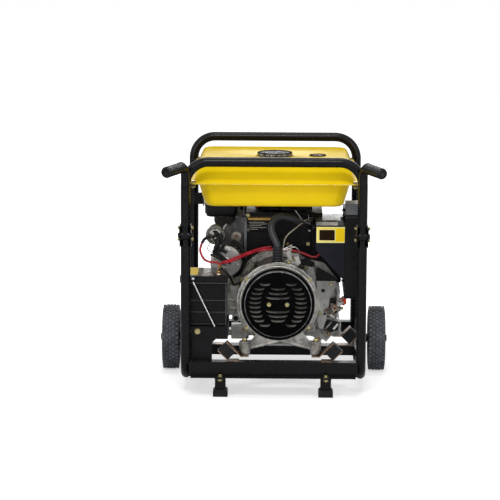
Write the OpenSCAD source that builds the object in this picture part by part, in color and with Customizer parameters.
// Open-frame portable generator with electric start, wheels and fold-down handles.
// Origin: on the floor, under the centre of the bounding box. +X is the control panel side,
// -Y is the alternator end with the handles, +Z is up. All sizes are millimetres.

/* [Frame] */
// Overall width over the two hoops
frame_w = 530; // [520:5:640]
// Distance between the front and the rear hoop, centre to centre
hoop_gap = 648; // [640:4:780]
// Height of the top bars above the floor
frame_top = 690; // [680:5:830]
// Outer diameter of the frame tube
tube_d = 28; // [25:1:32]
// Wall thickness of the frame tube
tube_wall = 2; // [1.5:0.25:3]
// Centre-line bend radius of the top corners
hoop_bend = 66; // [56:2:80]
// Centre-line bend radius where a leg turns into the bottom rail
rail_bend = 60; // [50:2:72]
// Clear height under the bottom rails
ground_gap = 42; // [38:1:50]
// Height of the pressed crossbars
crossbar_h = 42; // [38:1:48]
// Thickness of the crossbar sheet
crossbar_t = 2.5; // [2:0.5:3]

/* [Feet and wheels] */
// Distance of each foot from the centre plane
foot_x = 151; // [120:1:180]
// Width of a rubber foot
foot_w = 42; // [36:1:50]
// Height of a rubber foot
foot_h = 21; // [18:1:24]
// Outer diameter of a wheel
wheel_d = 194; // [170:1:230]
// Width of a tyre
tyre_w = 52; // [44:1:60]
// Distance from the front hoop back to the wheel axles
axle_y = 386; // [350:1:420]
// Diameter of an axle stub
axle_d = 16; // [14:0.5:20]
// Radial running clearance of a wheel on its stub
wheel_fit = 0.05; // [0.02:0.01:0.1]

/* [Handles] */
// Diameter of the handle tube
arm_d = 25; // [22:0.5:26]
// Height of the handle pivot above the floor
pivot_z = 470; // [450:1:490]
// Height of the grips above the floor when upright
grip_z = 667; // [640:1:680]
// Length of a rubber grip
grip_len = 120; // [100:5:140]
// Outer diameter of a rubber grip
grip_d = 29; // [28:0.5:34]
// Angle by which each grip splays outwards
grip_splay = 18; // [10:1:25]
// Diameter of the handle pivot pin
pivot_d = 8; // [6:0.5:10]
// Radial running clearance of the handle on its pin
pivot_fit = 0.1; // [0.03:0.01:0.1]

/* [Fuel tank] */
// Clearance between the tank flange and the hoops
tank_gap = 16; // [12:1:24]
// Height of the seam flange above the floor
seam_z = 609; // [600:1:615]
// Height of the tank top above the seam
tank_rise = 47; // [40:1:55]
// Depth of the tank below the seam
tank_drop = 72; // [60:1:76]
// Sheet thickness of the tank
tank_wall = 1.5; // [1.2:0.1:2.5]
// Diameter of the recess round the fuel cap
recess_d = 112; // [110:1:130]
// Diameter of the fuel cap
cap_d = 104; // [86:1:106]
// Bore of the filler neck
neck_bore = 44; // [36:1:52]
// Room between the cap's plug and the bore, on each side
plug_gap = 5; // [2:0.5:6]

/* [Alternator and engine] */
// Height of the crankshaft above the floor
shaft_z = 263; // [258:1:270]
// Sideways offset of the crankshaft from the centre plane
shaft_x = 13; // [5:1:20]
// Diameter of the louvred alternator cover
cover_d = 209; // [200:1:216]
// Outer diameter of the stator drum
stator_d = 200; // [190:1:206]
// Diameter of the rotor
rotor_d = 128; // [110:1:136]
// Diameter of the crankshaft in its end bearing
shaft_d = 30; // [25:1:35]
// Radial running clearance of the shaft in its bearing
shaft_fit = 0.05; // [0.02:0.01:0.1]

/* [Battery and controls] */
// Width of the battery
battery_w = 126; // [110:1:130]
// Length of the battery, front to back
battery_len = 160; // [140:1:166]
// Height of the battery without its terminals
battery_h = 176; // [160:1:180]
// Length of the control box, front to back
box_len = 240; // [220:1:270]
// Height of the control panel
panel_h = 246; // [230:1:260]
// Radius of the plug recess in each socket outlet
socket_r = 20; // [17:0.5:22]

/* [Hidden] */

$fn = 64;
round_fn = 32;      // facets of a circle inside a hull
eps = 0.01;
seat = 0.3;         // gap between a piece and the curved face that carries it

// Frame lines
tube_r = tube_d / 2;
leg_x = frame_w / 2 - tube_r;
leg_in = leg_x - tube_r;
rail_z = ground_gap + tube_r;
bar_z = frame_top - tube_r;
rear_y = hoop_gap;

// Handle lines, in front of the front legs
side_gap = 2;
arm_r = arm_d / 2;
arm_y = -(tube_r + arm_r + side_gap);
arm_bend = 30;
grip_out = arm_bend + grip_len;
clamp_t = 2.5;
clamp_gap = 0.4;
clamp_lo = pivot_z - 36;
clamp_hi = pivot_z + 27;
clamp_bolt_z = [pivot_z - 15, pivot_z + 18];

// Centre of the bounding box, front to back
grip_nose = 3;
grip_fit = 0.1;
front_reach = arm_y - grip_out * cos(grip_splay)
    - (grip_d / 2 - grip_nose) * sin(grip_splay);
mid_y = (rear_y + tube_r + front_reach) / 2;

// Crossbars: sheet face, a flange back at the top and a lip forward at the bottom
face_y = -9;
bar_top_z = rail_z + 45;
bar_low_z = bar_top_z - crossbar_h;
flange_back = 36;
lip_front = 26;
mid_bar_y = 350;
mid_bar_z = rail_z + 12;
mid_bar_h = 28;
mid_bar_d = 44;

// Feet and wheels
foot_bolt_y = face_y - 15;
foot_plate_t = 3;
wheel_r = wheel_d / 2;
rim_r = 62;
wheel_in_x = leg_x + tube_r + 18;
axle_z = wheel_r;

// Tank
tank_w = 2 * leg_in + 10;
tank_y0 = tube_r + tank_gap;
tank_y1 = rear_y - tube_r - tank_gap;
tank_len = tank_y1 - tank_y0;
tank_mid_y = (tank_y0 + tank_y1) / 2;
flange_t = 1.5;
flange_wide = 20;
tank_ear = 11;
tank_top_z = seam_z + tank_rise;
tank_low_z = seam_z - tank_drop;
tank_slope = 32;
cap_y = tank_mid_y;
recess_depth = 6;
neck_h = 4;
cap_seat_z = tank_top_z - recess_depth + neck_h;
gasket_t = 2;
cap_gap = 0.1;
cap_h = 11;
tab_w = 34;
tab_t = 3;

// Alternator and engine, front to back
cover_y = 22;
bracket_y = 34;
stator_y0 = 76;
stator_y1 = 238;
crank_y0 = 262;
crank_y1 = 420;
deck_y0 = 289;
deck_top = tank_low_z - 46;
deck_low = shaft_z + 125;
deck_t = 3;
fly_y0 = 432;
fly_y1 = 500;
recoil_y1 = 590;
pull_y = 556;
muffler_y1 = 602;
muffler_z = 449;
outlet_d = 34;
outlet_bore = 28;
bracket_r = max(cover_d, stator_d + 4.5) / 2 + 7;
foot_mid_x = shaft_x + 7;
boss_reach = 102;
boss_y = 14;
boss_low_z = 117;
iso_reach = 152;
iso_side = 38;
iso_t = 32;
iso_len = 34;
strip_t = 2.5;
iso_rise = 30;
iso_z = bar_top_z + iso_rise;
rear_iso_reach = 208;
rear_iso_z = mid_bar_z + mid_bar_h / 2 + iso_rise;

// Cylinder axis, leaning to the battery side
lean = 48;
bore_y = 352;
fin_w = 130;
fin_d = 132;
head_z = 184;
head_top = 212;
rocker_top = 230;

// Oil filler on the control side of the crankcase
dip_y = 296;
dip_z = 226;

// Starter beside the crankcase
starter_x = shaft_x - 154;
starter_z = shaft_z + 92;
starter_y0 = 216;
starter_len = 64;
starter_d = 92;
solenoid_x = starter_x - 32;
solenoid_z = starter_z + 79;

// Air filter and carburettor under the battery side of the tank
filter_x = -159;
filter_y = 400;
filter_z = 469;
filter_h = tank_low_z - 6 - filter_z;
carb_x0 = filter_x + 47 + seat;
carb_y = 380;
carb_z = 489;

// Battery tray, outboard of the front left leg
tray_gap = 3;
tray_t = 2.5;
tray_w = battery_w + 2 * tray_gap + 2 * tray_t;
tray_x1 = -(leg_in - 106);
tray_x0 = tray_x1 - tray_w;
tray_y0 = 30;
tray_z0 = 160;
tray_lip = 36;
battery_z0 = tray_z0 + tray_t;
battery_top = battery_z0 + battery_h;
post_h = 5;
post_z = battery_top + post_h + seat;
battery_y0 = tray_y0 + tray_t + tray_gap + 14;
battery_x0 = tray_x0 + tray_t + tray_gap;
tray_y1 = battery_y0 + battery_len + tray_gap + tray_t;
clamp_bar_h = 17;

// Control box and panel
panel_x0 = leg_in - 33;
panel_x1 = leg_in + 8;
panel_y0 = 118;
panel_z0 = 263;
panel_z1 = panel_z0 + panel_h;
box_y0 = panel_y0 + 2;
box_z1 = deck_top - 14;
box_x0 = panel_x0 - 84;
box_t = 2;
panel_t = 18;
outlet_y = panel_y0 + 70;
outlet_z = [panel_z0 + 52, panel_z0 + 128];
outlet_out = 8;
hinge_rise = 34;
cover_size = 58;
cover_t = 4;
cover_pin_d = 3;
hinge_fit = 0.08;
hinge_x = panel_x1 + outlet_out + cover_t / 2 + seat;
key_y = panel_y0 + 190;
key_z = panel_z0 + 196;
toggle_tilt = 18;
breaker_y = panel_y0 + 130;
breaker_z = panel_z0 + 196;

// Routes of the wires, as points that are measured from the front hoop
red_starter_route = [
    [-158, 166, post_z], [-158, 166, 352], [-152, 172, 358], [-140, 180, 358], [-120, 190, 362],
    [-96, 200, 371], [-76, 214, 378], [-56, 228, 383], [-32, 238, 387], [-7, 242, 389],
    [16, 242, 389], [40, 236, 388], [62, 228, 386], [82, 220, 382], [100, 215, 375],
    [113, 213, 371], [124, 213, 372], [132.4, 214, 378.4], [139.7, 214, 385]
];
red_solenoid_route = [
    [-158, 175.5, post_z], [-158, 175.5, 352], [-168, 182, 358], [-186, 188, 358],
    [-202, 190, 364], [-212, 190, 378], [-216, 190, 394], [-212, 192, 410], [-204, 195, 424],
    [-192, 194, 431], [-180, 196, 431], [-176, 201, 431], [-176, 209.7, 431]
];
black_ground_route = [
    [-158, 80, post_z], [-158, 80, 352], [-152, 68, 358], [-140, 62, 352], [-128, 66, 338],
    [-121, 78, 322], [-117, 100, 308], [-112, 140, 300], [-107, 190, 294], [-101, 236, 289],
    [-100, 252, 288], [-100, 261.7, 288]
];
plug_route = [
    [-164.3, 340, 369.6], [-172, 340, 362.7], [-180, 334, 354], [-186, 324, 342],
    [-186, 312, 326], [-178, 300, 308], [-165, 293, 294], [-150, 291, 286], [-140, 290, 283],
    [-132.4, 290, 283]
];
conduit_route = [
    [10, 60, 413.5], [10, 60, 427], [6, 63, 438], [0, 69, 450], [-6, 77, 464], [-8, 84, 478],
    [-5, 94, 491], [4, 108, 500], [18, 122, 503], [36, 134, 500], [55, 146, 493],
    [73, 162, 483], [88, 182, 472], [99, 200, 464], [108, 210, 460],
    [119.6, 210, 460]
];
wire_d = 7;
conduit_d = 20;
fuel_hose_d = 8;
fuel_hose_route = [
    [-70.3, 330, 517], [-76, 331, 517], [-84, 335, 514], [-91, 341, 508], [-96, 348, 500],
    [-98, 353, 491], [-98, 361.7, 491]
];

// ---------------------------------------------------------------- helpers

// Moves the whole model so that its origin is under the centre of its box
module place()
    translate([0, -mid_y, 0])
        children();

module both_sides() {
    children();
    mirror([1, 0, 0])
        children();
}

// A cylinder along +Y, of length len, starting at p
module along_y(p, d, len)
    translate(p)
        rotate([-90, 0, 0])
            cylinder(d = d, h = len);

// A cylinder along +X, of length len, starting at p
module along_x(p, d, len)
    translate(p)
        rotate([0, 90, 0])
            cylinder(d = d, h = len);

module box(lo, hi)
    translate(lo)
        cube(hi - lo);

// A rectangle with round corners, centred
module round_rect(w, h, r) {
    square([w - 2 * r, h], center = true);
    square([w, h - 2 * r], center = true);
    for (sx = [-1, 1], sy = [-1, 1])
        translate([sx * (w / 2 - r), sy * (h / 2 - r)])
            circle(r);
}

module tube_ring()
    difference() {
        circle(d = tube_d);
        circle(d = tube_d - 2 * tube_wall);
    }

// A quarter bend of the frame tube round the Z axis, from +X to +Y
module tube_bend(radius)
    rotate_extrude(angle = 90)
        translate([radius, 0])
            tube_ring();

module tube_run(len)
    linear_extrude(len)
        tube_ring();

// A hexagon-head bolt with a washer and a nut, hanging down from its head at the origin
module bolt(d, grip, nut = true) {
    cylinder(d = 1.7 * d, h = 0.65 * d, $fn = 6);
    translate([0, 0, -1.5])
        cylinder(d = 2.1 * d, h = 1.5);
    translate([0, 0, -1.5 - grip - (nut ? d : 0)])
        cylinder(d = d, h = grip + 1.5 + (nut ? d : 0));
    if (nut)
        translate([0, 0, -1.5 - grip - 0.8 * d])
            cylinder(d = 1.7 * d, h = 0.8 * d, $fn = 6);
}

// Vector helpers for the swept wires
function unit(v) = v / norm(v);
function ring_dir(path, i) =
    unit(path[min(i + 1, len(path) - 1)] - path[max(i - 1, 0)]);
function side_of(t) = unit(cross(t, abs(t[2]) < 0.9 ? [0, 0, 1] : [0, 1, 0]));
function carried(path, i) =
    i == 0
        ? side_of(ring_dir(path, 0))
        : let (last = carried(path, i - 1), t = ring_dir(path, i)) unit(last - (last * t) * t);

// A tube of the given diameter swept along the points of a path
module wire(path, d, sides = 8) {
    rings = len(path);
    points = [
        for (i = [0:rings - 1])
            let (t = ring_dir(path, i), u = carried(path, i), v = cross(t, u))
                for (k = [0:sides - 1])
                    path[i] + d / 2 * (cos(360 * k / sides) * u + sin(360 * k / sides) * v)
    ];
    walls = [
        for (i = [0:rings - 2], k = [0:sides - 1])
            let (a = i * sides + k, b = i * sides + (k + 1) % sides)
                [a, a + sides, b + sides, b]
    ];
    first = [for (k = [0:sides - 1]) k];
    last = [for (k = [sides - 1:-1:0]) (rings - 1) * sides + k];
    polyhedron(points = points, faces = concat([first], walls, [last]));
}

// ---------------------------------------------------------------- frame

// One hoop: top bar, two corners, two legs and the bends into the bottom rails.
// The rails leave towards +Y.
module hoop_tubes() {
    leg_lo = rail_z + rail_bend;
    leg_hi = bar_z - hoop_bend;
    translate([-(leg_x - hoop_bend), 0, bar_z])
        rotate([0, 90, 0])
            tube_run(2 * (leg_x - hoop_bend));
    both_sides() {
        translate([leg_x - hoop_bend, 0, leg_hi])
            rotate([90, 0, 0])
                tube_bend(hoop_bend);
        translate([leg_x, 0, leg_lo])
            tube_run(leg_hi - leg_lo);
        translate([leg_x, rail_bend, leg_lo])
            rotate([0, 90, 180])
                tube_bend(rail_bend);
    }
}

// Flat tabs welded to the legs, which carry the tank's corner bolts
module tank_tabs()
    both_sides()
        difference() {
            box([leg_x - 27, tube_r - 4, seam_z - flange_t - tab_t],
                [leg_x + 9, tube_r + tab_w, seam_z - flange_t]);
            translate([leg_x, 0, 0])
                cylinder(d = tube_d - tube_wall, h = frame_top);
            translate([tank_w / 2 - tank_ear, tank_y0 + tank_ear, seam_z - 20])
                cylinder(d = 8.6, h = 30);
        }

module front_hoop()
    place()
        color([0.08, 0.08, 0.09])
            difference() {
                union() {
                    hoop_tubes();
                    tank_tabs();
                }
                for (z = clamp_bolt_z)
                    both_sides()
                        along_x([leg_x - 20, 0, z], 6.6, 40);
            }

// The rear hoop faces the front one and carries a small tab for the muffler strap
module rear_hoop()
    place()
        color([0.08, 0.08, 0.09])
            translate([0, rear_y, 0])
                mirror([0, 1, 0]) {
                    hoop_tubes();
                    tank_tabs();
                    difference() {
                        box([-leg_x, tube_r - 4, 466], [-leg_x + 32, tube_r + 44, 502]);
                        translate([-leg_x, 0, 0])
                            cylinder(d = tube_d - tube_wall, h = frame_top);
                        box([-leg_x - 1, tube_r + 3, 460], [-leg_x + 29, tube_r + 50, 510]);
                    }
                }

module side_rails()
    place()
        color([0.08, 0.08, 0.09])
            both_sides()
                translate([leg_x, rail_bend, rail_z])
                    rotate([-90, 0, 0])
                        tube_run(rear_y - 2 * rail_bend);

// Pressed channel with a flange back at the top and a lip forward at the bottom
module z_bar() {
    half = leg_in - 1;
    difference() {
        union() {
            box([-half, face_y, bar_low_z], [half, face_y + crossbar_t, bar_top_z]);
            box([-half, face_y, bar_top_z - crossbar_t], [half, face_y + flange_back, bar_top_z]);
            box([-half, face_y - lip_front, bar_low_z],
                [half, face_y + crossbar_t, bar_low_z + crossbar_t]);
        }
        both_sides()
            translate([foot_x, foot_bolt_y, bar_low_z - 5])
                cylinder(d = 8.6, h = 15);
    }
    // welded end plates that close the gap to the bent legs
    both_sides()
        difference() {
            box([half - 3, face_y, bar_low_z], [half + 6, face_y + flange_back, bar_top_z]);
            translate([leg_x, rail_bend, rail_z + rail_bend])
                rotate([0, 90, 180])
                    rotate_extrude(angle = 90)
                        translate([rail_bend, 0])
                            circle(d = tube_d + 0.1);
        }
}

// The middle bar carries the engine and rests between the side rails
module mid_bar() {
    half = leg_x - 8;
    z0 = mid_bar_z - mid_bar_h / 2;
    z1 = mid_bar_z + mid_bar_h / 2;
    difference() {
        box([-half, mid_bar_y - mid_bar_d / 2, z0], [half, mid_bar_y + mid_bar_d / 2, z1]);
        box([-half - 1, mid_bar_y - mid_bar_d / 2 + crossbar_t, z0 - 1],
            [half + 1, mid_bar_y + mid_bar_d / 2 - crossbar_t, z1 - crossbar_t]);
        both_sides()
            translate([leg_x, 0, rail_z])
                rotate([-90, 0, 0])
                    cylinder(d = tube_d + 0.1, h = rear_y);
    }
}

module crossbars()
    place()
        color([0.07, 0.07, 0.08]) {
            z_bar();
            mid_bar();
            translate([0, rear_y, 0])
                mirror([0, 1, 0])
                    difference() {
                        z_bar();
                        box([-leg_x, face_y - lip_front - 1, 0],
                            [leg_x, face_y - eps, bar_top_z]);
                    }
        }

// ---------------------------------------------------------------- feet and wheels

module foot_brackets()
    place()
        color([0.09, 0.09, 0.1])
            both_sides()
                translate([foot_x, 0, 0]) {
                    difference() {
                        box([-15.5, foot_bolt_y - 12, bar_low_z - foot_plate_t],
                            [15.5, face_y + crossbar_t + 8, bar_low_z]);
                        translate([0, foot_bolt_y, bar_low_z - 10])
                            cylinder(d = 8.6, h = 20);
                    }
                    box([-15.5, face_y + crossbar_t, 6],
                        [15.5, face_y + crossbar_t + foot_plate_t, bar_low_z]);
                    box([-15.5, face_y + crossbar_t, 6],
                        [15.5, face_y + crossbar_t + 24, 6 + foot_plate_t]);
                }

// A moulded rubber shoe pushed over the foot plate
module rubber_feet()
    place()
        color([0.06, 0.06, 0.06])
            both_sides()
                translate([foot_x, face_y + 10, 0])
                    difference() {
                        intersection() {
                            translate([-foot_w / 2, -16, 0])
                                cube([foot_w, 44, foot_h]);
                            translate([0, 60, 0])
                                rotate([90, 0, 0])
                                    linear_extrude(120)
                                        polygon([
                                            [-foot_w / 2, 0], [foot_w / 2, 0],
                                            [foot_w / 2, foot_h - 5], [foot_w / 2 - 4, foot_h],
                                            [4 - foot_w / 2, foot_h], [-foot_w / 2, foot_h - 5]
                                        ]);
                        }
                        box([-15.7, crossbar_t - 10.2, 5.8],
                            [15.7, crossbar_t + foot_plate_t - 9.8, foot_h + 1]);
                        box([-15.7, crossbar_t - 10.2, 5.8],
                            [15.7, crossbar_t + 14.2, 9.2]);
                    }

// A plate on the side rail with the axle stub welded to it and a washer near its end
module wheel_brackets()
    place()
        color([0.1, 0.1, 0.11])
            both_sides() {
                plate_x = leg_x + tube_r;
                difference() {
                    union() {
                        box([plate_x, axle_y - 34, rail_z - 16],
                            [plate_x + 5, axle_y + 34, axle_z + 4]);
                        along_x([plate_x, axle_y, axle_z], 56, 5);
                    }
                    for (sy = [-1, 1])
                        along_x([plate_x - 1, axle_y + sy * 24, rail_z], 8.6, 8);
                }
                along_x([plate_x + 4, axle_y, axle_z], 26, wheel_in_x - plate_x - 4.5);
                along_x([plate_x + 4, axle_y, axle_z], axle_d,
                        wheel_in_x + tyre_w - plate_x + 1);
                along_x([wheel_in_x + tyre_w + 0.5, axle_y, axle_z], 28, 2);
                along_x([wheel_in_x + tyre_w + 2.5, axle_y, axle_z], 20, 3);
            }

// Rim: hub, web and the seat of the tyre, turned round the axle
module wheel_rim_shape()
    rotate([0, 90, 0])
        rotate_extrude() {
            polygon([
                [axle_d / 2 + wheel_fit, 0.2], [22, 0.2], [22, tyre_w / 2 - 7],
                [rim_r - 10, tyre_w / 2 - 4], [rim_r - 10, 4], [rim_r, 4],
                [rim_r, tyre_w - 4], [rim_r - 4, tyre_w - 4], [rim_r - 5, tyre_w / 2 + 4],
                [22, tyre_w / 2 + 3], [22, tyre_w - 0.2], [axle_d / 2 + wheel_fit, tyre_w - 0.2]
            ]);
        }

module tyre_shape()
    rotate([0, 90, 0])
        rotate_extrude()
            difference() {
                translate([rim_r, 0])
                    square([wheel_r - rim_r, tyre_w]);
                for (y = [0, tyre_w])
                    translate([wheel_r, y])
                        rotate(45)
                            square(9, center = true);
            }

module left_wheel_rim()
    place()
        color([0.12, 0.12, 0.13])
            mirror([1, 0, 0])
                translate([wheel_in_x, axle_y, axle_z])
                    wheel_rim_shape();

module right_wheel_rim()
    place()
        color([0.12, 0.12, 0.13])
            translate([wheel_in_x, axle_y, axle_z])
                wheel_rim_shape();

module left_tyre()
    place()
        color([0.05, 0.05, 0.05])
            mirror([1, 0, 0])
                translate([wheel_in_x, axle_y, axle_z])
                    tyre_shape();

module right_tyre()
    place()
        color([0.05, 0.05, 0.05])
            translate([wheel_in_x, axle_y, axle_z])
                tyre_shape();

// ---------------------------------------------------------------- handles

// A U-shaped bracket round the leg, bolted through it, with the pivot in its front ears
module handle_clamps()
    place()
        color([0.07, 0.07, 0.08])
            both_sides() {
                in_w = tube_d / 2 + clamp_gap;
                difference() {
                    translate([leg_x, 0, clamp_lo]) {
                        box([-in_w - clamp_t, arm_y - 13, 0],
                            [-in_w, tube_r + clamp_gap + clamp_t, clamp_hi - clamp_lo]);
                        box([in_w, arm_y - 13, 0],
                            [in_w + clamp_t, tube_r + clamp_gap + clamp_t, clamp_hi - clamp_lo]);
                        box([-in_w - clamp_t, tube_r + clamp_gap, 0],
                            [in_w + clamp_t, tube_r + clamp_gap + clamp_t, clamp_hi - clamp_lo]);
                    }
                    for (z = clamp_bolt_z)
                        along_x([leg_x - 30, 0, z], 6.6, 60);
                    // the front ears are cut back so that the arm can swing down
                    box([leg_x - 30, arm_y - 20, clamp_lo - 1],
                        [leg_x + 30, -tube_r - 3, pivot_z - 14]);
                }
                // pivot pin with its two heads
                along_x([leg_x - in_w - clamp_t, arm_y, pivot_z], pivot_d,
                        2 * (in_w + clamp_t));
                along_x([leg_x - in_w - clamp_t - 4, arm_y, pivot_z], pivot_d + 6, 4);
                along_x([leg_x + in_w + clamp_t, arm_y, pivot_z], pivot_d + 6, 4);
            }

module arm_ring()
    difference() {
        circle(d = arm_d);
        circle(d = arm_d - 2 * tube_wall);
    }

// The right handle's arm: up from the pivot, round the bend, then out under the grip.
// Its foot is closed and rounded round the pivot hole.
module handle_arm_shape()
    translate([leg_x, arm_y, 0])
        difference() {
            union() {
                rotate([0, 0, grip_splay - 90]) {
                    translate([0, 0, pivot_z + arm_r])
                        linear_extrude(grip_z - arm_bend - pivot_z - arm_r)
                            arm_ring();
                    translate([arm_bend, 0, grip_z - arm_bend])
                        rotate([90, 0, 180])
                            rotate_extrude(angle = 90)
                                translate([arm_bend, 0])
                                    arm_ring();
                    translate([arm_bend, 0, grip_z])
                        rotate([0, 90, 0])
                            linear_extrude(grip_len - 6)
                                arm_ring();
                    translate([0, 0, pivot_z])
                        cylinder(d = arm_d, h = arm_r);
                }
                translate([1.5 - arm_r, 0, pivot_z])
                    rotate([0, 90, 0])
                        cylinder(d = arm_d - 1, h = arm_d - 3);
            }
            along_x([-30, 0, pivot_z], pivot_d + 2 * pivot_fit, 60);
        }

// The ribbed rubber sleeve on the end of the right handle
module grip_shape()
    translate([leg_x, arm_y, grip_z])
        rotate([0, 0, -90 + grip_splay])
            translate([arm_bend, 0, 0])
                rotate([0, 90, 0])
                    rotate_extrude()
                        polygon([
                            [arm_r + grip_fit, 0], [grip_d / 2 - 1, 0], [grip_d / 2, 1.5],
                            [grip_d / 2, grip_len - 4], [grip_d / 2 - grip_nose, grip_len],
                            [0, grip_len], [0, grip_len - 5.5],
                            [arm_r + grip_fit, grip_len - 5.5]
                        ]);

module right_handle_arm()
    place()
        color([0.07, 0.07, 0.08])
            handle_arm_shape();

module left_handle_arm()
    place()
        color([0.07, 0.07, 0.08])
            mirror([1, 0, 0])
                handle_arm_shape();

module right_grip()
    place()
        color([0.05, 0.05, 0.06])
            grip_shape();

module left_grip()
    place()
        color([0.05, 0.05, 0.06])
            mirror([1, 0, 0])
                grip_shape();

// ---------------------------------------------------------------- fasteners

module zinc_bolts()
    place()
        color([0.78, 0.72, 0.52]) {
            both_sides() {
                // feet
                translate([foot_x, foot_bolt_y, bar_low_z + crossbar_t + 1.5])
                    bolt(8, crossbar_t + foot_plate_t);
                // handle clamps, heads on the inner side of the leg
                for (z = clamp_bolt_z)
                    translate([leg_x - tube_r - clamp_gap - clamp_t - 1.5, 0, z])
                        rotate([0, -90, 0])
                            bolt(6, tube_d + 2 * clamp_gap + 2 * clamp_t);
                // tank corners
                for (y = [tank_y0 + tank_ear, tank_y1 - tank_ear])
                    translate([tank_w / 2 - tank_ear, y, seam_z + flange_t + 1.5])
                        bolt(8, 2 * flange_t + tab_t);
                // wheel brackets, into the side rails
                for (sy = [-1, 1])
                    translate([leg_x + tube_r + 6.5, axle_y + sy * 24, rail_z])
                        rotate([0, 90, 0])
                            bolt(6, 5, nut = false);
            }
            // alternator cover
            for (sx = [-1, 1])
                translate([shaft_x + sx * 26, cover_y - 1.5, shaft_z])
                    rotate([90, 0, 0])
                        bolt(6, 6, nut = false);
            // tray lip
            translate([tray_x0 + 50, tray_y0 - 1.5, tray_z0 + 22])
                rotate([90, 0, 0])
                    bolt(8, tray_t);
        }

// ---------------------------------------------------------------- battery

module battery_tray()
    place()
        color([0.08, 0.08, 0.09]) {
            difference() {
                box([tray_x0, tray_y0, tray_z0], [tray_x1, tray_y1, tray_z0 + tray_lip]);
                box([tray_x0 + tray_t, tray_y0 + tray_t, tray_z0 + tray_t],
                    [tray_x1 - tray_t, tray_y1 - tray_t, tray_z0 + tray_lip + 1]);
                translate([tray_x0 + 50, tray_y0 - 5, tray_z0 + 22])
                    rotate([-90, 0, 0])
                        cylinder(d = 8.6, h = 14);
            }
            // front support, welded to the rear edge of the crossbar flange
            box([tray_x1 - 102, face_y + flange_back, bar_low_z + 6],
                [tray_x1 - 45, face_y + flange_back + tray_t, tray_z0 + 1]);
            box([tray_x1 - 102, face_y + flange_back, tray_z0 - tray_t],
                [tray_x1 - 45, tray_y0 + 20, tray_z0]);
            // rear support, standing on the side rail
            difference() {
                box([-leg_x - 12, tray_y1 - 30, rail_z], [-leg_x + 16, tray_y1 - 27, tray_z0]);
                translate([-leg_x, 0, rail_z])
                    rotate([-90, 0, 0])
                        cylinder(d = tube_d + 0.1, h = rear_y);
            }
        }

module battery()
    place()
        color([0.09, 0.09, 0.1]) {
            box([battery_x0, battery_y0, battery_z0],
                [battery_x0 + battery_w, battery_y0 + battery_len, battery_top - 10]);
            box([battery_x0 + 2, battery_y0 + 2, battery_top - 10 - eps],
                [battery_x0 + battery_w - 2, battery_y0 + battery_len - 2, battery_top]);
            for (y = [80, 170])
                translate([-158, y, battery_top - 1])
                    cylinder(d = 14, h = post_h + 1);
        }

// Angle bar across the front top edge with two bent rods down to the tray
module battery_hold_down()
    place()
        color([0.1, 0.1, 0.11]) {
            front = battery_y0 - seat;
            box([tray_x0 - 1, front - tray_t - 12, battery_top + 1 - clamp_bar_h],
                [tray_x1, front - 12, battery_top + 1 + tray_t]);
            box([tray_x0 - 1, front - tray_t - 12, battery_top + 1],
                [tray_x1, front + 9, battery_top + 1 + tray_t]);
            // rod from the bar down to the tray's front lip
            rod_d = 5;
            rod_y = front - 12 - tray_t / 2;
            x_hi = tray_x0 + 37;
            x_lo = tray_x0 + 102;
            z_hi = battery_top - clamp_bar_h + 2;
            z_lo = tray_z0 + tray_lip - 6;
            run = [x_lo - x_hi, 0, z_lo - z_hi];
            translate([x_hi, rod_y, z_hi])
                rotate([0, 180 - atan2(run[0], -run[2]), 0])
                    cylinder(d = rod_d, h = norm(run));
        }

module red_cables()
    place()
        color([0.62, 0.05, 0.08]) {
            wire(red_starter_route, wire_d);
            wire(red_solenoid_route, wire_d);
        }

module black_cables()
    place()
        color([0.05, 0.05, 0.05]) {
            wire(black_ground_route, wire_d);
            wire(plug_route, wire_d);
        }

// ---------------------------------------------------------------- fuel tank

// A slab with rounded corners, used as a layer of the pressed shells,
// that stands in by inset_x at the sides and by inset_y at the ends
module tank_slab(z, inset_x, inset_y, corner)
    translate([0, tank_mid_y, z])
        linear_extrude(0.5)
            round_rect(tank_w - 2 * inset_x, tank_len - 2 * inset_y, corner, $fn = round_fn);

module upper_form(shrink = 0)
    hull() {
        tank_slab(seam_z - 0.5, flange_wide / 2 + shrink, flange_wide / 2 + 2 + shrink, 34);
        tank_slab(seam_z + 8, flange_wide / 2 + 1 + shrink, flange_wide / 2 + 5 + shrink, 34);
        tank_slab(tank_top_z - 7 - shrink, tank_slope - 8 + shrink, tank_slope + 10 + shrink, 34);
        tank_slab(tank_top_z - 0.5 - shrink, tank_slope - 2 + shrink, tank_slope + 23 + shrink, 26);
    }

module lower_form(shrink = 0)
    hull() {
        tank_slab(seam_z, flange_wide + 5 + shrink, flange_wide + 5 + shrink, 34);
        tank_slab(tank_low_z + 18 + shrink, 2 * flange_wide + shrink, 2 * flange_wide + 2 + shrink, 30);
        tank_slab(tank_low_z + 6 + shrink, 2 * flange_wide + 2 + shrink, 2 * flange_wide + 5 + shrink, 28);
        tank_slab(tank_low_z + shrink, 3 * flange_wide - 4 + shrink, 3 * flange_wide + shrink, 20);
    }

module flange_plate(z)
    translate([0, tank_mid_y, z])
        linear_extrude(flange_t)
            round_rect(tank_w, tank_len, 14);

module corner_bores()
    both_sides()
        for (y = [tank_y0 + tank_ear, tank_y1 - tank_ear])
            translate([tank_w / 2 - tank_ear, y, seam_z - 20])
                cylinder(d = 8.6, h = 40);

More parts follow.
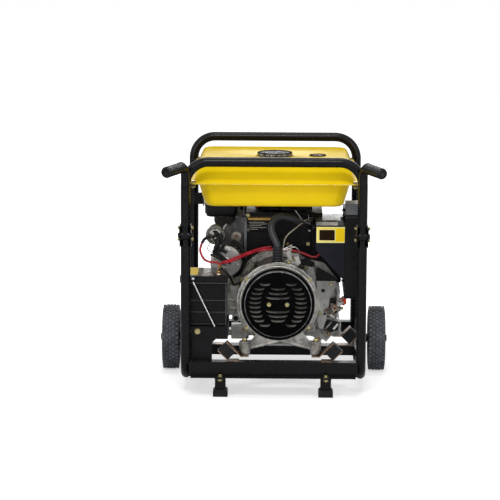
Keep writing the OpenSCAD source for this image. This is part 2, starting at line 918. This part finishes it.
module tank_upper_shell()
    place()
        color([0.96, 0.8, 0.05])
            difference() {
                union() {
                    difference() {
                        union() {
                            flange_plate(seam_z);
                            upper_form();
                        }
                        upper_form(tank_wall);
                        box([-tank_w, 0, seam_z - 5], [tank_w, rear_y, seam_z]);
                    }
                    translate([0, cap_y, tank_top_z - recess_depth - tank_wall])
                        cylinder(d = recess_d + 2 * tank_wall,
                                 h = recess_depth + tank_wall - 1);
                    translate([0, cap_y, tank_top_z - recess_depth - 22])
                        cylinder(d = neck_bore + 3, h = 22 + neck_h);
                }
                difference() {
                    translate([0, cap_y, tank_top_z - recess_depth])
                        cylinder(d = recess_d, h = recess_depth + 5);
                    translate([0, cap_y, tank_top_z - recess_depth - 1])
                        cylinder(d = neck_bore + 3, h = neck_h + 1);
                }
                translate([0, cap_y, tank_top_z - recess_depth - 30])
                    cylinder(d = neck_bore, h = 60);
                corner_bores();
            }

module tank_lower_shell()
    place()
        color([0.96, 0.8, 0.05])
            difference() {
                union() {
                    flange_plate(seam_z - flange_t);
                    lower_form();
                }
                lower_form(tank_wall);
                box([-tank_w, 0, seam_z], [tank_w, rear_y, seam_z + 5]);
                corner_bores();
            }

// Fuel gauge on the tank top, tap under the tank and the hose to the carburettor
module fuel_fittings()
    place()
        color([0.3, 0.3, 0.32]) {
            translate([cap_d / 2 + 75, tank_mid_y + 3, tank_top_z]) {
                cylinder(d = 50, h = 3);
                translate([0, 0, 3 - eps])
                    cylinder(d = 44, h = 2);
            }
            translate([-50, 330, tank_low_z - 26])
                cylinder(d = 22, h = 26);
            along_x([-70, 330, tank_low_z - 20], 12, 22);
            wire(fuel_hose_route, fuel_hose_d);
        }

module fuel_tap_lever()
    place()
        color([0.65, 0.1, 0.08])
            translate([-50, 330, tank_low_z - 26 - seat]) {
                translate([0, 0, -6])
                    cylinder(d = 16, h = 6);
                box([-4, -30, -6], [4, 0, -2]);
            }

module cap_gasket()
    place()
        color([0.08, 0.08, 0.08])
            translate([0, cap_y, cap_seat_z + cap_gap])
                difference() {
                    cylinder(d = neck_bore + 16, h = gasket_t);
                    translate([0, 0, -1])
                        cylinder(d = neck_bore - 4, h = gasket_t + 2);
                }

module fuel_cap()
    place()
        color([0.75, 0.75, 0.77])
            translate([0, cap_y, cap_seat_z + gasket_t + 2 * cap_gap]) {
                cylinder(d = cap_d, h = cap_h);
                translate([0, 0, -gasket_t - 4])
                    cylinder(d = neck_bore - 2 * plug_gap, h = gasket_t + 4);
            }

// ---------------------------------------------------------------- alternator

// Cast end bracket: a ring round the cover, a dished wall with the bearing seat,
// and a flat gusset on each side down to the mounting bosses
module alternator_end_bracket()
    place()
        color([0.62, 0.61, 0.58])
            difference() {
                union() {
                    along_y([shaft_x, bracket_y, shaft_z], 2 * bracket_r, stator_y0 - bracket_y);
                    for (s = [-1, 1]) {
                        boss_x = foot_mid_x + s * boss_reach;
                        translate([boss_x, boss_y + 16, boss_low_z])
                            cylinder(d = 32, h = 38);
                        translate([foot_mid_x, bracket_y + 20, 0])
                            rotate([90, 0, 0])
                                linear_extrude(22)
                                    polygon([
                                        [0, shaft_z - 110], [s * 82, boss_low_z + 15],
                                        [s * boss_reach, boss_low_z + 15],
                                        [s * boss_reach, boss_low_z + 36],
                                        [s * 82, boss_low_z + 38], [s * 66, shaft_z - 86],
                                        [0, shaft_z - 86]
                                    ]);
                    }
                    along_y([shaft_x, bracket_y + 8, shaft_z], 2 * bracket_r + 14, 12);
                }
                // room for the cover's skirt
                along_y([shaft_x, bracket_y - 1, shaft_z], cover_d - 8, 9);
                along_y([shaft_x, bracket_y - 30, shaft_z], cover_d + 1, 30.3);
                // hollow behind the wall
                along_y([shaft_x, bracket_y + 16, shaft_z], stator_d - 8, 60);
                along_y([shaft_x, stator_y0 - 4, shaft_z], stator_d, 60);
                // bearing seat
                along_y([shaft_x, bracket_y, shaft_z], 62, 40);
                for (s = [-1, 1])
                    translate([foot_mid_x + s * boss_reach, boss_y + 16, boss_low_z - 1])
                        cylinder(d = 8.6, h = 44);
                // slope beside the strap of each front isolator
                both_feet()
                    translate([iso_reach, boss_y, iso_z])
                        rotate([0, 45, 0])
                            box([-iso_t / 2 - strip_t - seat, -40, -60], [iso_t, 60, 60]);
            }

// Louvred sheet-metal cover over the alternator end
module alternator_cover()
    place()
        color([0.07, 0.07, 0.08])
            difference() {
                union() {
                    along_y([shaft_x, cover_y, shaft_z], cover_d - 16, 8);
                    along_y([shaft_x, cover_y + 4, shaft_z], cover_d, 8);
                }
                along_y([shaft_x, cover_y + 1.5, shaft_z], cover_d - 22, 30);
                for (sx = [-1, 1])
                    along_y([shaft_x + sx * 26, cover_y - 5, shaft_z], 6.4, 30);
            }

module stator()
    place()
        color([0.35, 0.35, 0.36])
            difference() {
                along_y([shaft_x, stator_y0 - 4, shaft_z], stator_d, stator_y1 - stator_y0 + 28);
                along_y([shaft_x, stator_y0 - 10, shaft_z], rotor_d + 1.4, 300);
                along_y([shaft_x, stator_y0 - 10, shaft_z], stator_d - 36, 36);
                along_y([shaft_x, stator_y1 - 30, shaft_z], stator_d - 36, 80);
            }

// Ball bearing between the end bracket and the shaft
module rotor_bearing()
    place()
        color([0.7, 0.7, 0.72])
            difference() {
                along_y([shaft_x, bracket_y + 8.5, shaft_z], 62, 14);
                along_y([shaft_x, bracket_y, shaft_z], shaft_d + 2 * shaft_fit, 40);
            }

module rotor()
    place()
        color([0.5, 0.32, 0.2])
            difference() {
                along_y([shaft_x, stator_y0 + 22, shaft_z], rotor_d,
                        stator_y1 - stator_y0 - 44);
                along_y([shaft_x, 0, shaft_z], shaft_d + 10, 400);
            }

module crankshaft()
    place()
        color([0.6, 0.6, 0.62]) {
            along_y([shaft_x, bracket_y + 4, shaft_z], shaft_d, 60);
            along_y([shaft_x, stator_y0 + 14, shaft_z], shaft_d + 10, 170);
            along_y([shaft_x, 240, shaft_z], 38, fly_y0 - 240 + 10);
            along_y([shaft_x, fly_y0, shaft_z], 24, fly_y1 - fly_y0 + 8);
        }

module flywheel()
    place()
        color([0.55, 0.55, 0.56])
            difference() {
                union() {
                    along_y([shaft_x, fly_y0 + 10, shaft_z], 190, 24);
                    along_y([shaft_x, fly_y0 + 12, shaft_z], 60, fly_y1 - fly_y0 - 14);
                    for (a = [0:30:330])
                        translate([shaft_x, fly_y0 + 34, shaft_z])
                            rotate([0, a, 0])
                                box([44, -eps, -2], [88, 24, 2]);
                }
                along_y([shaft_x, fly_y0, shaft_z], 24, 100);
            }

// Ribbed rubber boot where the conduit enters the end bracket
module cable_boot()
    place()
        color([0.05, 0.05, 0.05])
            difference() {
                translate([10, 60, shaft_z + bracket_r - 1])
                    union() {
                        cylinder(d = 34, h = 8);
                        for (i = [0:4])
                            translate([0, 0, 8 + 8 * i])
                                cylinder(d1 = 30, d2 = 26, h = 8);
                        cylinder(d = 25, h = 52);
                    }
                along_y([shaft_x, bracket_y - 10, shaft_z], 2 * bracket_r + 0.4, 80);
                along_y([shaft_x, bracket_y - 10, shaft_z], 2 * bracket_r + 14.6, 30.3);
                translate([10, 60, shaft_z + bracket_r + 37])
                    cylinder(d = conduit_d + 0.6, h = 20);
            }

module conduit()
    place()
        color([0.12, 0.12, 0.13])
            wire(conduit_route, conduit_d, sides = 12);

// ---------------------------------------------------------------- engine

// Places its children on the cylinder's axis, with +Z along the axis away from the crank
module on_cylinder()
    translate([shaft_x, bore_y, shaft_z])
        rotate([0, -90 + lean, 0])
            children();

module crankcase()
    place()
        color([0.6, 0.6, 0.57])
            difference() {
                union() {
                    // adaptor bell in front of the engine
                    along_y([shaft_x, crank_y0, shaft_z], stator_d + 38, 20);
                    // crank chamber
                    along_y([shaft_x, crank_y0 + 10, shaft_z], 246, crank_y1 - crank_y0 - 10);
                    // gear and governor bulge, with a slanted shoulder under the control box
                    translate([0, crank_y1 - 10, 0])
                        rotate([90, 0, 0])
                            linear_extrude(crank_y1 - crank_y0 - 14)
                                polygon([
                                    [shaft_x + 60, shaft_z - 86], [188, shaft_z - 86],
                                    [188, shaft_z + 36], [148, shaft_z + 84],
                                    [shaft_x + 60, shaft_z + 94]
                                ]);
                    // starter pad on the battery side, and the blocks behind and under it
                    translate([0, crank_y0 + 22, 0])
                        rotate([90, 0, 0])
                            linear_extrude(22)
                                polygon([
                                    [shaft_x - 59, shaft_z - 91], [shaft_x - 111, shaft_z - 91],
                                    [shaft_x - 129, shaft_z - 83], [shaft_x - 143, shaft_z - 73],
                                    [shaft_x - 145, shaft_z - 20], [shaft_x - 145, shaft_z + 42],
                                    [shaft_x - 125, shaft_z + 55], [shaft_x - 73, shaft_z + 67]
                                ]);
                    box([shaft_x - 145, crank_y0 + 4, 195], [shaft_x - 87, crank_y0 + 40, 298]);
                    box([shaft_x - 139, crank_y0, 115], [shaft_x - 87, crank_y0 + 40, 158]);
                    // sump with the mounting base and its four feet
                    box([shaft_x - 108, crank_y0 + 6, 126], [196, crank_y1 - 6, 172]);
                    both_feet()
                        box([0, mid_bar_y - 20, rear_iso_z],
                            [rear_iso_reach - 26, mid_bar_y + 20, 130]);
                    // filler bosses
                    along_x([186, dip_y, dip_z], 34, 10);
                    along_x([190, dip_y, dip_z - 76], 24, 10);
                }
                along_y([shaft_x, 200, shaft_z], 38 + 2 * shaft_fit, 300);
                along_y([shaft_x, crank_y0 + 34, shaft_z], 176, 96);
                along_y([shaft_x, stator_y1, shaft_z], stator_d, 38);
                on_cylinder()
                    cylinder(d = 92, h = 200);
                along_x([148, dip_y, dip_z], 20, 60);
            }

// Finned cylinder and head in one casting
module cylinder_fins() {
    translate([0, 0, 104])
        linear_extrude(head_z - 103)
            round_rect(fin_w - 22, fin_d - 20, 16);
    for (i = [0:5])
        translate([0, 0, 118 + 11 * i])
            linear_extrude(4)
                round_rect(fin_w, fin_d, 18);
    translate([0, 0, head_z])
        linear_extrude(head_top - head_z)
            round_rect(fin_w - 10, fin_d - 8, 14);
}

module engine_cylinder()
    place()
        color([0.58, 0.58, 0.56])
            difference() {
                on_cylinder()
                    cylinder_fins();
                along_y([shaft_x, 200, shaft_z], 246.6, 300);
                on_cylinder()
                    translate([0, 0, 90])
                        cylinder(d = 88, h = 100);
            }

module rocker_cover()
    place()
        color([0.1, 0.1, 0.11])
            on_cylinder()
                translate([0, 0, head_top]) {
                    linear_extrude(rocker_top - head_top)
                        round_rect(92, 112, 16);
                    linear_extrude(3)
                        round_rect(106, 120, 12);
                }

// Black sheet shroud: the fan housing at the flywheel end, a throat above it and the deck
// over the engine, low beside the control box and wider above it
module blower_housing()
    place()
        color([0.07, 0.07, 0.08])
            difference() {
                union() {
                    along_y([shaft_x, crank_y1 + 2, shaft_z], 236, fly_y1 + 12 - crank_y1);
                    box([shaft_x - 80, crank_y1 + 2, shaft_z + 70],
                        [shaft_x + 80, fly_y1 + 14, deck_low + 6]);
                    deck_block(0);
                }
                along_y([shaft_x, crank_y1 + 5, shaft_z], 230, 200);
                box([shaft_x - 77, crank_y1 + 5, shaft_z],
                    [shaft_x + 77, fly_y1 + 11, deck_low + 10]);
                deck_block(deck_t);
                along_y([shaft_x, 200, shaft_z], 40, 300);
                on_cylinder()
                    translate([0, 0, 60])
                        linear_extrude(200)
                            round_rect(fin_w + 4, fin_d + 4, 19);
            }

module deck_block(shrink) {
    y0 = deck_y0 + shrink;
    y1 = fly_y1 + 14 - shrink;
    z0 = deck_low - (shrink > 0 ? 1 : 0);
    box([shaft_x - 97 + shrink, y0, z0], [box_x0 - 3 - shrink, y1, deck_top - shrink]);
    box([shaft_x + 40, y0, box_z1 + 3 + shrink], [142 - shrink, y1, deck_top - shrink]);
}

module recoil_cover()
    place()
        color([0.08, 0.08, 0.09])
            difference() {
                union() {
                    along_y([shaft_x, fly_y1 + 14, shaft_z], 236, 12);
                    along_y([shaft_x, fly_y1 + 20, shaft_z], 186, recoil_y1 - fly_y1 - 32);
                    along_y([shaft_x, fly_y1 + 20, shaft_z], 150, recoil_y1 - fly_y1 - 20);
                }
                along_y([shaft_x, fly_y1 + 10, shaft_z], 180, recoil_y1 - fly_y1 - 26);
                for (a = [0:30:330])
                    translate([shaft_x, 0, shaft_z])
                        rotate([0, a, 0])
                            box([52, recoil_y1 - 30, -4], [70, recoil_y1 + 5, 4]);
            }

// T-handle of the pull cord, seated on the side of the recoil cover
module recoil_handle()
    place()
        color([0.06, 0.06, 0.06])
            translate([shaft_x, pull_y, shaft_z])
                rotate([0, 45, 0]) {
                    translate([0, 0, 93 + seat])
                        cylinder(d = 16, h = 12);
                    translate([0, -28, 105])
                        rotate([-90, 0, 0])
                            cylinder(d = 18, h = 56);
                }

module starter_motor()
    place()
        color([0.55, 0.55, 0.54])
            difference() {
                union() {
                    along_y([starter_x, starter_y0, starter_z], 66, starter_len);
                    along_y([starter_x, starter_y0 + 34, starter_z], starter_d, starter_len - 34);
                    along_y([starter_x, starter_y0 - 3, starter_z], 28, 4);
                }
                // clear of the crankcase adaptor
                along_y([shaft_x, 200, shaft_z], stator_d + 39, 300);
            }

module starter_solenoid()
    place()
        color([0.5, 0.5, 0.5])
            difference() {
                union() {
                    along_y([solenoid_x, starter_y0, solenoid_z], 50, starter_len);
                    along_y([solenoid_x + 2, starter_y0 - 6, solenoid_z - 2], 30, 7);
                    // saddle on the starter's barrel
                    hull()
                        for (t = [0.35, 0.8])
                            translate([starter_x + t * (solenoid_x - starter_x), starter_y0 + 36,
                                       starter_z + t * (solenoid_z - starter_z)])
                                rotate([-90, 0, 0])
                                    cylinder(d = 30, h = 26, $fn = round_fn);
                }
                along_y([starter_x, starter_y0 + 30, starter_z], starter_d + 0.6, 80);
            }

module air_filter_box()
    place()
        color([0.08, 0.08, 0.09]) {
            translate([filter_x, filter_y, filter_z]) {
                linear_extrude(filter_h - 6)
                    round_rect(94, 140, 22);
                translate([0, 0, filter_h - 8])
                    linear_extrude(8)
                        round_rect(98, 144, 24);
                translate([5, 0, -9])
                    cylinder(d = 8, h = 9);
            }
        }

// Carburettor between the filter box and the engine, with the choke spindle on top
module carburettor()
    place()
        color([0.6, 0.6, 0.6])
            difference() {
                box([carb_x0, carb_y - 18, carb_z - 20], [carb_x0 + 24, carb_y + 18, carb_z + 16]);
                along_x([carb_x0 - 2, carb_y, carb_z], 22, 40);
            }

module choke_lever()
    place()
        color([0.15, 0.15, 0.15])
            translate([carb_x0 + 12, carb_y, carb_z + 16 + seat]) {
                cylinder(d = 12, h = 5);
                box([-3, 0, 1], [3, 36, 4]);
                translate([0, 36, 1])
                    cylinder(d = 10, h = 8);
            }

module muffler()
    place()
        color([0.3, 0.29, 0.28])
            difference() {
                union() {
                    translate([-60, muffler_y1, muffler_z])
                        rotate([90, 0, 0])
                            linear_extrude(80)
                                round_rect(250, 82, 26);
                    // inlet flange on the shroud side, outlet pipe turned to the back
                    along_y([-40, fly_y1 + 14 + seat, muffler_z], 56, 10);
                    along_y([30, muffler_y1 - 10, muffler_z - 3], outlet_d, 30);
                }
                along_y([30, muffler_y1 - 8, muffler_z - 3], outlet_bore, 40);
                box([-178, muffler_y1 - 74, muffler_z - 34], [58, muffler_y1 - 12, muffler_z + 34]);
            }

module oil_dipstick()
    place()
        color([0.95, 0.35, 0.05]) {
            along_x([196 + seat, dip_y, dip_z], 26, 8);
            along_x([150, dip_y, dip_z], 8, 47);
            along_x([204, dip_y, dip_z], 14, 8);
        }

// ---------------------------------------------------------------- engine mounts

// One inclined rubber block, its bonded axis at 45 degrees in the X-Z plane
module isolator_block()
    rotate([0, 45, 0])
        box([-iso_t / 2, -iso_len / 2, -iso_side / 2], [iso_t / 2, iso_len / 2, iso_side / 2]);

// Places its children at both ends of one axle line of mounts, mirrored on the left
module both_feet()
    for (s = [0, 1])
        translate([foot_mid_x, 0, 0])
            mirror([s, 0, 0])
                children();

module isolators()
    place()
        color([0.06, 0.06, 0.07])
            both_feet() {
                translate([iso_reach, boss_y, iso_z])
                    isolator_block();
                translate([rear_iso_reach, mid_bar_y, rear_iso_z])
                    isolator_block();
            }

// Bent straps on both faces of a block: the upper one reaches in under the engine foot at
// height foot_dz, the lower one turns flat onto the crossbar
module strap_pair(foot_in, foot_dz) {
    k = cos(45);
    plate_x = iso_t / 2 + strip_t / 2;
    in_end = (plate_x * k - foot_dz + strip_t / 2) / k;
    low_end = (iso_rise - strip_t / 2) / k - plate_x;
    rotate([90, 0, 0])
        linear_extrude(iso_len, center = true) {
            rotate(-45) {
                translate([-iso_t / 2 - strip_t, -in_end])
                    square([strip_t, in_end + iso_side / 2]);
                translate([iso_t / 2, -low_end])
                    square([strip_t, low_end + iso_side / 2]);
            }
            translate([-foot_in, foot_dz - strip_t])
                square([foot_in - (plate_x + in_end) * k + 1, strip_t]);
            translate([-34, -iso_rise])
                square([34 + (plate_x - low_end) * k + 1, strip_t]);
        }
}

module isolator_brackets()
    place()
        color([0.6, 0.45, 0.3])
            both_feet() {
                translate([iso_reach, boss_y, iso_z])
                    strap_pair(iso_reach - boss_reach + 12, boss_low_z - iso_z);
                translate([rear_iso_reach, mid_bar_y, rear_iso_z])
                    strap_pair(52, 0);
            }

// ---------------------------------------------------------------- controls

// Outline of the control box seen from the front, with a slanted lower corner
module box_outline()
    polygon([
        [box_x0, box_z1], [panel_x0 - eps, box_z1], [panel_x0 - eps, 316], [box_x0, 407]
    ]);

// Folded sheet box behind the panel, open towards it, on two pads at the shroud's side
module control_box()
    place()
        color([0.08, 0.08, 0.09]) {
            for (z = [422, 462])
                along_x([box_x0 - 3 + seat, deck_y0 + 30, z], 16, 3);
            translate([0, box_y0 + box_len, 0])
                rotate([90, 0, 0])
                    difference() {
                        linear_extrude(box_len)
                            box_outline();
                        translate([0, 0, box_t])
                            linear_extrude(box_len - 2 * box_t)
                                polygon([
                                    [box_x0 + box_t, box_z1 - box_t], [panel_x0 + 5, box_z1 - box_t],
                                    [panel_x0 + 5, 318], [panel_x0, 318 + box_t],
                                    [box_x0 + box_t, 407 + box_t / 2]
                                ]);
                    }
        }

// Moulded panel, hollow at the back, with bores for the two outlets
module control_panel()
    place()
        color([0.06, 0.06, 0.07])
            difference() {
                translate([panel_x0, panel_y0 + (box_len + 8) / 2, (panel_z0 + panel_z1) / 2])
                    rotate([0, 90, 0])
                        linear_extrude(panel_x1 - panel_x0)
                            round_rect(panel_h, box_len + 8, 10);
                box([panel_x0 - 1, panel_y0 + 5, panel_z0 + 5],
                    [panel_x1 - panel_t, panel_y0 + box_len + 3, panel_z1 - 5]);
                for (z = outlet_z)
                    along_x([panel_x0 + 8, outlet_y, z], 2 * socket_r + 10, 60);
                along_x([panel_x1 - 16, key_y, key_z], 22, 30);
                box([panel_x1 - 14, breaker_y - 13, breaker_z - 16],
                    [panel_x1 + 5, breaker_y + 13, breaker_z + 16]);
            }

// Sockets: a round body in the panel with a recess for a plug, and a hinge ear above
module socket_outlets()
    place()
        color([0.1, 0.15, 0.4])
            for (z = outlet_z)
                difference() {
                    union() {
                        along_x([panel_x0 + 8.1, outlet_y, z], 2 * socket_r + 9.8,
                                panel_x1 - panel_x0 - 8);
                        translate([panel_x1 + 0.1, outlet_y, z])
                            rotate([0, 90, 0])
                                linear_extrude(outlet_out - 0.1)
                                    round_rect(cover_size, cover_size, 6);
                        for (sy = [-1, 1])
                            translate([panel_x1 + 0.1, outlet_y + sy * 22 - 4, z + 28])
                                cube([outlet_out + 5, 8, hinge_rise - 28 + 4]);
                        along_y([hinge_x, outlet_y - 20, z + hinge_rise], cover_pin_d, 40);
                    }
                    along_x([panel_x0 + 12, outlet_y, z], 2 * socket_r, 60);
                }

// Spring flap over one outlet, hinged along Y above it
module socket_cover(z)
    difference() {
        union() {
            translate([panel_x1 + outlet_out + seat, outlet_y, z])
                rotate([0, 90, 0])
                    linear_extrude(cover_t)
                        round_rect(cover_size - 6, cover_size - 4, 6);
            along_y([hinge_x, outlet_y - 16, z + hinge_rise], 7, 32);
            box([hinge_x - 1.7, outlet_y - 16, z + 20], [hinge_x + 2, outlet_y + 16, z + hinge_rise]);
        }
        along_y([hinge_x, outlet_y - 30, z + hinge_rise], cover_pin_d + 2 * hinge_fit, 60);
    }

module upper_socket_cover()
    place()
        color([0.1, 0.2, 0.55])
            socket_cover(outlet_z[1]);

module lower_socket_cover()
    place()
        color([0.1, 0.2, 0.55])
            socket_cover(outlet_z[0]);

// Toggle of the circuit breaker
module breaker_toggle()
    place()
        color([0.12, 0.12, 0.12])
            translate([panel_x1 - 4, breaker_y, breaker_z])
                rotate([0, toggle_tilt, 0]) {
                    along_y([0, -7, 0], 10, 14);
                    box([0, -6, -4], [13, 6, 4]);
                }

// Key of the start switch
module key_switch()
    place()
        color([0.7, 0.7, 0.7])
            translate([panel_x1 - 16 + seat, key_y, key_z]) {
                along_x([0, 0, 0], 21.4, 20);
                box([19, -1.5, -11], [32, 1.5, 11]);
            }

// Meter cover, ground terminal, breaker body and the two knurled nuts on the box
module panel_fittings()
    place()
        color([0.45, 0.46, 0.44]) {
            translate([panel_x0 + 2, panel_y0 + 6, panel_z1])
                cube([37, 70, 33]);
            along_x([panel_x1, panel_y0 + 210, panel_z0 + 40], 12, 3);
            along_x([panel_x1, panel_y0 + 210, panel_z0 + 40], 6, 14);
            difference() {
                box([panel_x1 - 14 + seat, breaker_y - 12.8, breaker_z - 15.8],
                    [panel_x1 + 3, breaker_y + 12.8, breaker_z + 15.8]);
                box([panel_x1 - 9 - seat, breaker_y - 7.4, breaker_z - 12],
                    [panel_x1 + 5, breaker_y + 7.4, breaker_z + 12]);
            }
            translate([panel_x1, breaker_y + 34, breaker_z - 60])
                cube([3, 52, 40]);
            for (p = [[8, 6], [16, 20]])
                translate([panel_x0 - p[0], panel_y0 + 24, box_z1])
                    cylinder(d = 9, h = 30 - p[1]);
        }

// ---------------------------------------------------------------- output

front_hoop();
rear_hoop();
side_rails();
crossbars();
foot_brackets();
rubber_feet();
handle_clamps();
wheel_brackets();
zinc_bolts();
battery_tray();
battery();
battery_hold_down();
red_cables();
black_cables();
tank_lower_shell();
tank_upper_shell();
fuel_fittings();
alternator_end_bracket();
alternator_cover();
stator();
rotor_bearing();
cable_boot();
conduit();
crankcase();
engine_cylinder();  // cylinder
rocker_cover();
blower_housing();
recoil_cover();
starter_motor();
starter_solenoid();
air_filter_box();
carburettor();
muffler();
oil_dipstick();
isolators();
isolator_brackets();
control_box();
control_panel();
panel_fittings();
socket_outlets();
crankshaft();
rotor();
flywheel();
left_handle_arm();
left_grip();
right_handle_arm();
right_grip();
left_wheel_rim();
left_tyre();
right_wheel_rim();
right_tyre();
cap_gasket();
fuel_cap();
choke_lever();
fuel_tap_lever();
upper_socket_cover();
lower_socket_cover();
breaker_toggle();
key_switch();
recoil_handle();
